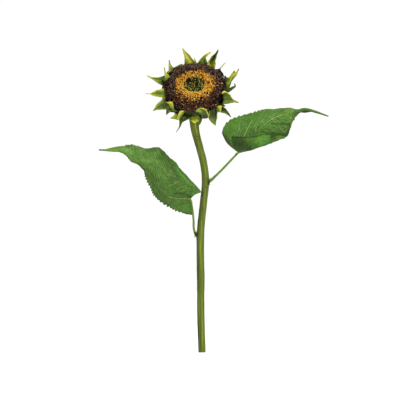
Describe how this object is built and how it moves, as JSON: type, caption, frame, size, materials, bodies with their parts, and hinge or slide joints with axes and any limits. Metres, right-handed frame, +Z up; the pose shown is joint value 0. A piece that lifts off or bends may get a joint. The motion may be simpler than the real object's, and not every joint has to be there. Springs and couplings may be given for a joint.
{
  "type": "sunflower plant",
  "caption": "Upright sunflower plant: a green stem with a bend, heart-shaped leaves on thin stalks and a tilted seed head ringed by pointed bracts, without ray petals.",
  "frame": {"origin": "middle of the flat cut under the stem, at ground level", "axes": "+Z up along the plant's height, -Y the side the seed head faces, +X towards the upper leaf"},
  "size_m": [0.4598, 0.124, 0.6085],
  "materials": {
    "stem": "soft green plant skin with fine lengthwise ridges",
    "stalk": "smooth light green plant skin",
    "leaf": "matt green leaf with fine veins and a toothed margin",
    "receptacle": "matt green plant tissue",
    "seeds": "dark brown dry florets, rough",
    "florets": "golden orange florets, rough",
    "eye": "dark green buds with yellow-green tips",
    "bract": "green bracts with yellow tips and edges"
  },
  "bodies": {
    "root": {"stem": "stem", "left_stalk": "stalk", "right_stalk": "stalk", "left_leaf": "leaf", "right_leaf": "leaf", "receptacle": "receptacle", "seed_disc": "seeds", "floret_ring": "florets", "disc_eye": "eye", "bract_01": "bract", "bract_02": "bract", "bract_03": "bract", "bract_04": "bract", "bract_05": "bract", "bract_06": "bract", "bract_07": "bract", "bract_08": "bract", "bract_09": "bract", "bract_10": "bract", "bract_11": "bract", "bract_12": "bract", "bract_13": "bract", "bract_14": "bract", "bract_15": "bract", "bract_16": "bract", "bract_17": "bract", "bract_18": "bract", "bract_19": "bract", "bract_20": "bract", "bract_21": "bract", "bract_22": "bract", "bract_23": "bract", "bract_24": "bract", "bract_25": "bract", "bract_26": "bract", "bract_27": "bract", "bract_28": "bract", "bract_29": "bract", "bract_30": "bract", "bract_31": "bract", "bract_32": "bract", "bract_33": "bract", "bract_34": "bract", "bract_35": "bract"}
  },
  "joints": []
}
